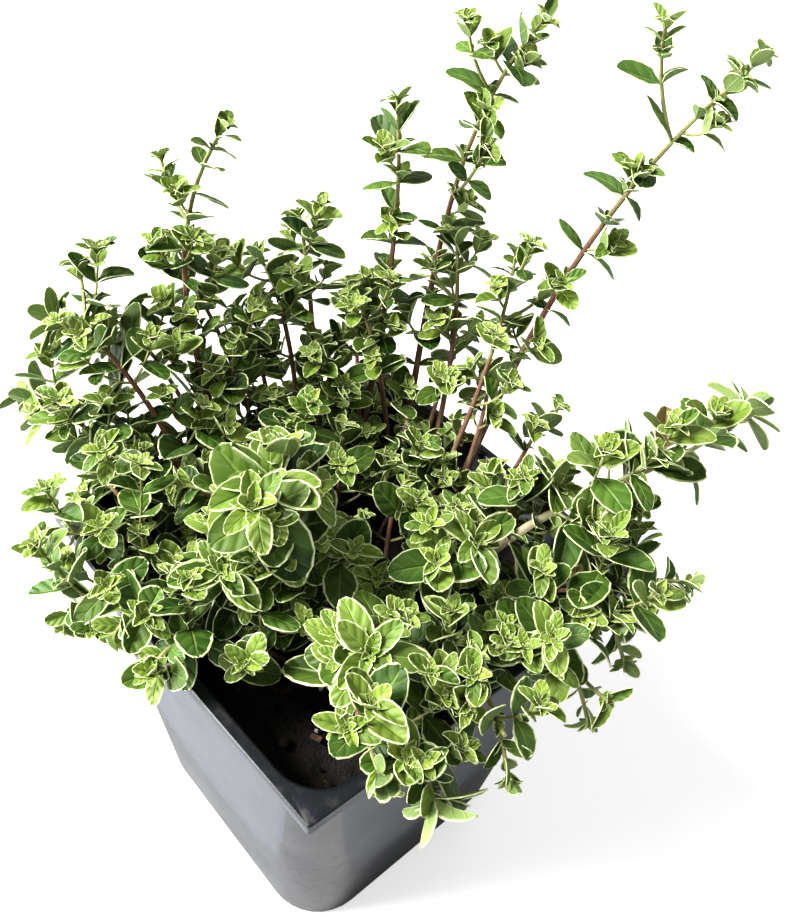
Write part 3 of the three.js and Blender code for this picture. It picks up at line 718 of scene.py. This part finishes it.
def swell_sides(pot):
    """Each side bows a little outward at its middle, more towards the rim."""
    deselect_all()
    size = 2 * RIM_HALF * MM
    bpy.ops.object.add(type="LATTICE", location=(0, 0, POT_HEIGHT * MM / 2))
    cage = bpy.context.object
    cage.scale = (size, size, POT_HEIGHT * MM)
    cage.data.points_u = cage.data.points_v = 3
    cage.data.points_w = 2
    cage.data.interpolation_type_u = cage.data.interpolation_type_v = "KEY_CARDINAL"
    cage.data.interpolation_type_w = "KEY_LINEAR"
    out = SIDE_BOW * MM / size
    for point in cage.data.points:
        x, y, z = point.co
        if z > 0 and abs(abs(x) - abs(y)) > 0.3:
            point.co_deform = Vector((x + math.copysign(out, x) if abs(x) > 0.3 else x,
                                      y + math.copysign(out, y) if abs(y) > 0.3 else y, z))
    bpy.context.view_layer.update()
    finish_with(pot, "LATTICE", object=cage)
    bpy.data.objects.remove(cage)


def drill_drains(pot):
    """Four drain holes through the floor."""
    drills = []
    for x, y in ((1, 1), (-1, 1), (-1, -1), (1, -1)):
        deselect_all()
        bpy.ops.mesh.primitive_cylinder_add(vertices=24, radius=DRAIN_DIAMETER / 2 * MM, depth=8 * MM,
                                            location=(x * DRAIN_SPREAD * MM, y * DRAIN_SPREAD * MM, 0))
        drills.append(bpy.context.object)
    drill = join_all(drills, "drain drill")
    finish_with(pot, "BOOLEAN", object=drill, operation="DIFFERENCE", solver="EXACT")
    bpy.data.objects.remove(drill)


# ---------------------------------------------------------------- the potting mix
def clouds(name, scale, depth=3):
    texture = bpy.data.textures.new(name, "CLOUDS")
    texture.noise_scale = scale
    texture.noise_depth = depth
    texture.noise_basis = "ORIGINAL_PERLIN"
    return texture


def build_soil(material):
    soil = merged_copy("soil", "potting_mix")
    soil.data.materials.clear()
    finish_with(soil, "REMESH", mode="VOXEL", voxel_size=MIX_GRID * MM, adaptivity=0.0)
    top = soil.vertex_groups.new(name="surface")
    reach = wall_at(SOIL_Z)[0] - 1.5
    for vertex in soil.data.vertices:
        edge = reach * MM - max(abs(vertex.co.x), abs(vertex.co.y))
        if vertex.co.z > (SOIL_Z - 0.6) * MM and edge > 0:
            top.add([vertex.index], min(1.0, edge / (MIX_EDGE * MM)), "REPLACE")
    for scale, strength in ((9.0, 3.0), (3.2, 2.2), (1.4, 1.0)):
        finish_with(soil, "DISPLACE", texture=clouds(f"crumbs {scale}", scale * MM), texture_coords="LOCAL",
                    strength=strength * MM, mid_level=0.55, direction="Z", vertex_group="surface")
    only(soil)
    bpy.ops.object.shade_smooth()
    soil.data.materials.append(material)
    return stands_for(soil, "potting_mix", "soil")


def scattered(shape, name, count, seed, sizes, lift, area, material, flat=0.3):
    """Copies of a shape strewn on the soil, each turned its own way, as one piece."""
    draw = dice(seed)
    parts = []
    for _ in range(count):
        x = area[0] + (area[1] - area[0]) * draw()
        y = area[2] + (area[3] - area[2]) * draw()
        size = (sizes[0] + (sizes[1] - sizes[0]) * draw() ** 2) * MM
        tilt = Matrix.Rotation((draw() - 0.5) * flat * math.pi, 4, "X") @ Matrix.Rotation(
            (draw() - 0.5) * flat * math.pi, 4, "Y")
        place = Matrix.Translation((x * MM, y * MM, (SOIL_Z + lift + 0.8 * draw()) * MM))
        part = shape.copy()
        part.data = shape.data.copy()
        turned = Matrix.Rotation(draw() * 2 * math.pi, 4, "Z")
        part.data.transform(place @ turned @ tilt @ Matrix.Scale(size, 4))
        bpy.context.scene.collection.objects.link(part)
        parts.append(part)
    bpy.data.objects.remove(shape)
    piece = join_all(parts, name)
    piece.data.materials.clear()
    piece.data.materials.append(material)
    return stands_for(piece, "potting_mix")


def crumb_shape():
    deselect_all()
    bpy.ops.mesh.primitive_ico_sphere_add(subdivisions=2, radius=0.5)
    crumb = new_piece("crumb")
    finish_with(crumb, "DISPLACE", texture=clouds("crumb lumps", 0.6, 1), texture_coords="LOCAL",
                strength=0.5)
    finish_with(crumb, "DECIMATE", ratio=0.5)
    smooth(crumb, 50)
    return crumb


def chip_shape():
    deselect_all()
    bpy.ops.mesh.primitive_cube_add(size=1)
    chip = new_piece("chip")
    chip.scale = (1.0, 0.42, 0.13)
    settle(chip)
    edit(chip)
    bpy.ops.mesh.select_all(action="SELECT")
    bpy.ops.mesh.subdivide(number_cuts=2)
    leave_edit()
    finish_with(chip, "DISPLACE", texture=clouds("chip edges", 0.35, 2), texture_coords="LOCAL",
                strength=0.22)
    smooth(chip, 35)
    return chip


# ---------------------------------------------------------------- the leaves
# Rows of the blade from its base to its tip: how far along, and half width as a share of length.
FULL_ROWS = ((0.0, 0.028), (0.10, 0.105), (0.27, 0.265), (0.49, 0.315), (0.72, 0.285), (0.90, 0.195),
             (1.0, 0.080))
SMALL_ROWS = ((0.0, 0.05), (0.35, 0.28), (0.74, 0.24), (1.0, 0.06))


def blade_shape(name, rows, columns, fold, droop, roll, wave, uppers):
    """One leaf of unit length along X, upper side up: a grid drawn to the outline of a blade, folded
    along its midrib, drooping to its tip, its margins rolled, given its thickness."""
    deselect_all()
    bpy.ops.mesh.primitive_grid_add(x_subdivisions=len(rows) - 1, y_subdivisions=columns, size=1,
                                    location=(0.5, 0, 0))
    blade = settle(new_piece(name))
    mesh = edit(blade)
    for k, (far, half) in enumerate(rows):
        row = [v for v in mesh.verts if not v.tag and abs(v.co.x * (len(rows) - 1) - k) < 0.01]
        for point in row:
            point.tag = True
        start = row[0].co.x
        outer = [v for v in row if abs(v.co.y) > 0.45]
        left = [v for v in outer if v.co.y > 0]
        inner = [v for v in row if 0.05 < abs(v.co.y) < 0.45]
        stretch(mesh, row, (1, 2 * half, 1), (start, 0, 0))
        # a leaf that droops reaches less far
        drawn_in = 0.35 * (droop * far) ** 2
        shift(mesh, row, (far - start - drawn_in, 0, -droop * far ** 2))
        shift(mesh, inner, (0, 0, fold * half * 0.55))
        shift(mesh, outer, (0, 0, fold * half - roll * half))
        shift(mesh, left, (0, 0, wave * half * math.sin(7 * far)))
    leave_edit()
    blade.data.uv_layers[0].name = "blade"
    only(blade)
    bpy.ops.object.shade_smooth()
    for material in uppers:
        blade.data.materials.append(material)
    finish_with(blade, "SOLIDIFY", thickness=LEAF_THICKNESS / 10, offset=-1, material_offset=1)
    smooth(blade, 50)
    return blade


def lay_leaf(blade, leaf, traits, tilt=(0.0, 0.0)):
    """A copy of the blade with its own mesh, set on its stem, in metres."""
    along, face = Vector(leaf["along"]), Vector(leaf["face"])
    across = face.cross(along)
    turned = Matrix((along, across, face)).transposed().to_4x4()
    turned = turned @ Matrix.Rotation(tilt[0], 4, "X") @ Matrix.Rotation(tilt[1], 4, "Y")
    part = blade.copy()
    part.data = blade.data.copy()
    size = leaf["length"] * MM
    thickness = 10 / leaf["length"]
    place = Matrix.Translation(Vector(leaf["base"]) * MM) @ turned @ Matrix.Diagonal(
        (size, size * leaf.get("breadth", 1.0), size * min(1.6, thickness) ** 0.5, 1))
    part.data.transform(place)
    mark = part.data.attributes.new("traits", "FLOAT_VECTOR", "POINT")
    mark.data.foreach_set("vector", list(traits) * len(part.data.vertices))
    bpy.context.scene.collection.objects.link(part)
    return part


def rosette(leaf, pair_turn, count, share, lift):
    """Small leaves in the angle between a leaf and its stem, or round a growing tip."""
    up, out = leaf["stem"], leaf["out"]
    side = cross(up, out)
    small = []
    for k in range(count):
        turn = pair_turn + 2 * math.pi * k / count
        way = plus(scaled(out, math.cos(turn)), side, math.sin(turn))
        along = unit(plus(scaled(up, math.cos(lift)), way, math.sin(lift)))
        face = plus(up, UP, 0.5)
        face = unit(plus(face, along, -dot(face, along)))
        small.append({"base": leaf["base"], "along": along, "face": face,
                      "length": leaf["length"] * share, "stem": up, "out": way})
    return small


def is_in_cad(leaf, corners):
    """Does the CAD node have this leaf's tip among its corners?"""
    tip = np.array(plus(leaf["base"], leaf["along"], leaf["length"])) * MM
    return float(np.abs(corners - tip).max(axis=1).min()) < 0.12 * MM


def course_points(foot, bends, tip):
    points = [(x, y, RIM_Z + z) for x, y, z in (*bends, tip)]
    return [(foot[0], foot[1], SOIL_Z + STEM_GAP), *points]


def raised(points):
    """The same curve with one more control point."""
    n = len(points)
    inner = [between(points[i], points[i - 1], i / n) for i in range(1, n)]
    return [points[0], *inner, points[-1]]


def build_stems(name, courses, material):
    """Tapered stems, as one piece: NURBS paths with a round bevel, made a mesh."""
    deselect_all()
    bpy.ops.curve.primitive_nurbs_path_add()
    curve = bpy.context.object
    bpy.ops.object.mode_set(mode="EDIT")
    for _ in courses[1:]:
        bpy.ops.curve.select_all(action="DESELECT")
        bpy.ops.curve.primitive_nurbs_path_add()
    bpy.ops.object.mode_set(mode="OBJECT")
    settle(curve)
    for spline, (points, foot, tip) in zip(curve.data.splines, courses):
        while len(points) < 5:
            points = raised(points)
        spline.order_u = 5
        spline.use_endpoint_u = True
        spline.resolution_u = 5
        for k, (point, co) in enumerate(zip(spline.points, points)):
            point.co = (*scaled(co, MM), 1)
            point.radius = foot + (tip - foot) * k / 4
    curve.data.dimensions = "3D"
    curve.data.bevel_depth = 0.5 * MM
    curve.data.bevel_resolution = 1
    curve.data.use_fill_caps = True
    only(curve)
    bpy.ops.object.convert(target="MESH")
    piece = new_piece(name)
    bpy.ops.object.shade_smooth_by_angle(angle=math.radians(60))
    places = np.zeros(len(piece.data.vertices) * 3)
    piece.data.vertices.foreach_get("co", places)
    places = places.reshape(-1, 3)
    marks, ages = [], []
    for number, (points, _, _) in enumerate(courses):
        for k in range(41):
            marks.append(scaled(along_curve(points, k / 40), MM))
            ages.append(1 - k / 40 if number == 0 else 0.22 - 0.2 * k / 40)
    nearest = ((places[:, None, :] - np.array(marks)[None]) ** 2).sum(axis=2).argmin(axis=1)
    age = piece.data.attributes.new("age", "FLOAT", "POINT")
    age.data.foreach_set("value", np.array(ages)[nearest].astype(np.float32))
    piece.data.materials.append(material)
    return piece


# Sprays that rise above the rest are thinly leaved, with plainer leaves.
TALL = ("back_tall", "back_right_tall", "back_top", "left_tall")
# How far the side shoots reach, how far apart they leave a stem, and how high the first one does.
FULL_GROWTH = (14.0, 9.0, 8.0)
AIRY_GROWTH = (9.0, 13.0, 14.0)
REAR_GROWTH = (11.5, 10.0, 10.0)
TALL_GROWTH = (7.0, 17.0, 50.0)
GROWTH = {"arching_right": (10.0, 8.5, 46.0), "middle_1": (11.0, 11.0, 10.0), "middle_3": (8.0, 12.0, 9.0),
          "right_1": (10.0, 12.0, 12.0)}
GROWTH.update({"back_%d" % k: AIRY_GROWTH for k in range(1, 6)})
GROWTH.update({"rear_%d" % k: REAR_GROWTH for k in range(1, 7)})
# Round a growing tip: how many leaves, how long beside a full leaf, and how far they open.
CROWN = ((2, 0.55, 1.15), (4, 0.36, 0.95), (2, 0.22, 0.55), (2, 0.14, 0.25))
BIG_CROWN = ((3, 1.0, 1.38), (4, 0.78, 1.08), (2, 0.5, 0.8), (4, 0.27, 0.5), (2, 0.15, 0.25))
BIG_CROWNED = ("near_tall", "front_rosette", "front_1", "near_1", "near_3", "left_far", "middle_1",
               "middle_2", "front_2", "arching_right")
WITHERED = 0.022  # share of the lower leaves
WITH_YOUNG = 0.36  # share of the axils with young leaves in them
SMALL_BLADE = 5  # leaves up to this long take a small blade
SHOOT_LEAF = 0.85  # leaves on a CAD side shoot, beside a full leaf
ADDED_LEAF = 1.22  # leaves on the shoots lower down, beside a full leaf
ADDED_GIRTH, ADDED_TIP_GIRTH = 0.75, 0.6
ADDED_BARE = 2.2  # how much of such a shoot is bare at its foot
NEAR_CORNER = 0.9  # a CAD side shoot's end lies this near to one of its node's corners
PLAINER = 0.55  # margins on the tall sprays, beside the others


def pick(kinds, draw):
    return kinds[int(draw() * len(kinds))]


def lay_pair_leaf(one, blades, small_blades, plain, tall, draw):
    """A leaf on its stem and, in some axils, the young leaves beside it."""
    blade = pick(blades if one["length"] > SMALL_BLADE else small_blades, draw)
    youth = max(0.0, 0.70 - 0.34 * one["pair"]) + 0.16 * draw() ** 2
    margin = plain * (0.011 + 0.020 * draw() ** 2 + 0.005 * youth)
    tone = draw()
    if tone > 1 - WITHERED and one["pair"] > 1 and not tall:
        youth = -1.0
    tilt = ((draw() - 0.5) * 0.5, (draw() - 0.6) * 0.35)
    one = {**one, "breadth": 0.90 + 0.26 * draw()}
    laid = [lay_leaf(blade, one, (tone ** 1.4, youth, margin), tilt)]
    if one["pair"] > 1 and draw() < WITH_YOUNG:
        for small in rosette(one, draw() * 1.5, 3 if draw() < 0.5 else 2, 0.30 + 0.22 * draw(), 0.75):
            base = plus(small["base"], one["along"], 0.06 * one["length"])
            small = {**small, "base": plus(base, one["stem"], 0.5)}
            traits = (0.2 + 0.8 * draw(), 0.1 + 0.45 * draw() ** 2, plain * (0.018 + 0.016 * draw()))
            laid.append(lay_leaf(pick(small_blades, draw), small, traits))
    return laid


def lay_crown(one, leaf, rings, blades, small_blades, plain, draw):
    """The leaves crowded round a growing tip, ring within ring."""
    crown = {**one, "base": plus(one["base"], one["stem"], 1.2), "length": leaf}
    laid = []
    for count, share, lift in rings:
        for small in rosette(crown, draw() * 3, count, share * (0.85 + 0.3 * draw()), lift):
            large = small["length"] > SMALL_BLADE
            traits = (0.3 + 0.7 * draw(), (0.06 if large else 0.35) + 0.45 * draw(),
                      plain * (0.02 + 0.016 * draw()))
            if leaf_is_clear(small):
                small["breadth"] = 0.84 if large else 1.0
                laid.append(lay_leaf(pick(blades if large else small_blades, draw), small, traits))
    return laid


def build_sprigs(blades, small_blades, bark, pale_bark):
    for number, (name, row) in enumerate(SPRIGS.items()):
        foot, bends, tip, girth, leaf, leafy, shoots, shoot = row
        points = course_points(foot, bends, tip)
        leaves, branches = grow(points, leaf, leafy, shoots, shoot, number + 11)
        node_name = "sprig_" + name
        corners = np.array([v.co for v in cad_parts[node_name].data.vertices])
        courses = [(points, girth, TIP_GIRTH)]
        tips = [leaves[0]]
        for i, branch in enumerate(branches):
            end = np.array(branch[-1]) * MM
            if float(np.abs(corners - end).max(axis=1).min()) > NEAR_CORNER * MM:
                continue
            courses.append((list(branch), SHOOT_GIRTH, TIP_GIRTH))
            shoot_leaves, _ = grow(branch, leaf * SHOOT_LEAF, 99, 0, 0, 1000 + 20 * number + i)
            if shoot_leaves:
                tips.append(shoot_leaves[0])
            leaves += shoot_leaves
        draw = dice(5000 + number)
        tall = name in TALL
        reach, spacing, start = GROWTH.get(name, TALL_GROWTH if tall else FULL_GROWTH)
        extra = []
        for i, side_shoot in enumerate(laterals(points, reach, spacing, start, draw)):
            shoot_leaves, _ = grow(side_shoot, leaf * ADDED_LEAF, 99, 0, 0, 9000 + 40 * number + i,
                                   ADDED_BARE)
            if len(shoot_leaves) > 2:
                courses.append((list(side_shoot), ADDED_GIRTH, ADDED_TIP_GIRTH))
                tips.append(shoot_leaves[0])
                extra += shoot_leaves
        laid = []
        plain = PLAINER if tall else 1.0
        for place, one in enumerate(leaves + extra):
            # a long leaf that the CAD node had to leave out is made smaller
            if place < len(leaves) and one["length"] >= SMALLEST_CAD_LEAF and not is_in_cad(one, corners):
                one = {**one, "length": SMALLEST_CAD_LEAF * (0.8 + 0.25 * draw())}
            if leaf_is_clear(one):
                laid += lay_pair_leaf(one, blades, small_blades, plain, tall, draw)
        for one in tips:
            rings = BIG_CROWN if name in BIG_CROWNED and one is tips[0] else CROWN
            laid += lay_crown(one, leaf, rings, blades, small_blades, plain, draw)
        foliage = join_all(laid, node_name + "_leaves")
        stems = build_stems(node_name + "_stems", courses, pale_bark if name == "arching_right" else bark)
        stands_for(foliage, "thyme_leaf", node_name)
        stands_for(stems, "thyme_stem", node_name)


# ---------------------------------------------------------------- floor, light and camera
FLOOR_GLOW = 0.52  # seen by the camera only
STUDIO_LIGHT = 0.38
# Each light's name, kind and place, its size (for the sun an angle), and its power.
LIGHTS = (
    ("key", "SUN", (-0.50, -0.70, 1.00), math.radians(24), 6.1),
    ("low", "AREA", (-0.40, -0.62, 0.16), 0.45, 11.5),
    ("back", "AREA", (-0.1, 0.9, 0.9), 0.8, 3.0),
)
LIT_PLACE = (0, 0, 0.07)
CAMERA_TURN, CAMERA_RISE, CAMERA_ROLL = 44.07, 43.95, 6.81
CAMERA_PLACE = (0.1119, -0.1022, 0.2768)
LENS = 37.7


def set_stage():
    deselect_all()
    bpy.ops.mesh.primitive_plane_add(size=12)
    floor = new_piece("pale floor")
    material, tree, shader = new_material("pale floor")
    soft = noise(tree, object_place(tree), 1.2, 2.0)
    tree.links.new(mixed(tree, soft, rgb(0.56, 0.56, 0.56), rgb(0.58, 0.58, 0.58)), shader["Base Color"])
    shader["Roughness"].default_value = 0.8
    # a lit sweep: it glows a little to the eye, so that the shadow on it stays faint
    shader["Emission Color"].default_value = rgb(1.0, 1.0, 1.0)
    seen = node(tree, "ShaderNodeLightPath").outputs["Is Camera Ray"]
    tree.links.new(times(tree, seen, FLOOR_GLOW), shader["Emission Strength"])
    floor.data.materials.append(material)
    world = bpy.data.worlds.new("studio")
    world.use_nodes = True
    bpy.context.scene.world = world
    sky = world.node_tree.nodes["Background"].inputs
    sky["Color"].default_value = rgb(1.0, 1.0, 1.0)
    # seen directly the studio is white, while the light it gives is softer
    seen = node(world.node_tree, "ShaderNodeLightPath").outputs["Is Camera Ray"]
    world.node_tree.links.new(eased(world.node_tree, seen, 0.0, 1.0, STUDIO_LIGHT, 1.0), sky["Strength"])
    for name, kind, place, size, power in LIGHTS:
        bpy.ops.object.light_add(type=kind, location=place)
        light = bpy.context.object
        light.name = name
        if kind == "SUN":
            light.data.angle = size
        else:
            light.data.size = size
        light.data.energy = power
        aim = Vector(LIT_PLACE) - Vector(place)
        light.rotation_euler = aim.to_track_quat("-Z", "Y").to_euler()


def set_camera():
    turn, rise, roll = (math.radians(angle) for angle in (CAMERA_TURN, CAMERA_RISE, CAMERA_ROLL))
    back = Vector((math.sin(turn) * math.cos(rise), -math.cos(turn) * math.cos(rise), math.sin(rise)))
    level = Vector(UP).cross(back).normalized()
    over = back.cross(level)
    right = math.cos(roll) * level + math.sin(roll) * over
    up = -math.sin(roll) * level + math.cos(roll) * over
    bpy.ops.object.camera_add()
    camera = bpy.context.object
    facing = Matrix((right, up, back)).transposed().to_4x4()
    camera.matrix_world = Matrix.Translation(CAMERA_PLACE) @ facing
    camera.data.sensor_fit = "VERTICAL"
    camera.data.sensor_height = 36
    camera.data.lens = LENS
    camera.data.clip_start = 0.01
    bpy.context.scene.camera = camera
    bpy.context.scene.view_settings.view_transform = "Standard"
    bpy.context.scene.view_settings.look = "Medium High Contrast"


# ---------------------------------------------------------------- assembly
set_camera()
leaf_sides = (leaf_upper(), leaf_underside())
bark = stem_bark("thyme stem", (rgb(0.24, 0.30, 0.09), rgb(0.34, 0.30, 0.13)),
                 (rgb(0.16, 0.070, 0.045), rgb(0.25, 0.13, 0.08)),
                 (rgb(0.14, 0.09, 0.055), rgb(0.30, 0.21, 0.13)))
pale_bark = stem_bark("pale thyme stem", (rgb(0.34, 0.40, 0.15), rgb(0.50, 0.50, 0.26)),
                      (rgb(0.36, 0.34, 0.18), rgb(0.56, 0.50, 0.32)),
                      (rgb(0.26, 0.20, 0.13), rgb(0.50, 0.42, 0.29)))
build_pot(pot_plastic())
# the mix's own dark brown, darkened much further as painted shade for the pot's shadowed inside
mix = soil_material("potting mix", rgb(0.003, 0.0022, 0.0016), rgb(0.014, 0.009, 0.006), 320.0)
build_soil(mix)
inside = wall_at(SOIL_Z)[0] - 6
everywhere = (-inside, inside, -inside, inside)
front_corner = (8, inside, -inside, -12)
scattered(crumb_shape(), "mix_crumbs", 260, 71, (1.0, 3.2), 0.4, everywhere, mix, 1.0)
# bark chips: their tan darkened as painted shade, like the mix
shade_darkened_bark = soil_material("bark chips", rgb(0.018, 0.010, 0.006), rgb(0.085, 0.050, 0.026), 240.0)
scattered(chip_shape(), "bark_chips", 26, 72, (2.2, 5.2), 0.9, everywhere, shade_darkened_bark)
scattered(chip_shape(), "bark_litter", 9, 73, (1.8, 4.2), 1.3, front_corner, shade_darkened_bark)
pale_grain = soil_material("perlite", rgb(0.42, 0.40, 0.36), rgb(0.72, 0.70, 0.66), 500.0)
scattered(crumb_shape(), "perlite_grains", 16, 74, (1.0, 2.2), 1.0, everywhere, pale_grain, 1.0)

# Each form's name, then its fold, droop, rolled margins and wave.
FULL_FORMS = (("flat", 0.22, 0.10, 0.0, 0.0), ("folded", 0.62, 0.18, 0.0, 0.10),
              ("drooping", 0.25, 0.34, 0.12, -0.12), ("rolled", 0.30, 0.16, 0.34, 0.08),
              ("lifted", 0.48, -0.16, 0.0, -0.06))
SMALL_FORMS = (("flat", 0.35, 0.12, 0.0, 0.0), ("folded", 0.70, 0.22, 0.0, 0.0))
blades = [blade_shape("blade " + form, FULL_ROWS, 4, *bent, leaf_sides) for form, *bent in FULL_FORMS]
small_blades = [blade_shape("small blade " + form, SMALL_ROWS, 2, *bent, leaf_sides)
                for form, *bent in SMALL_FORMS]
build_sprigs(blades, small_blades, bark, pale_bark)
for pattern in blades + small_blades:
    bpy.data.objects.remove(pattern)
set_stage()
deselect_all()
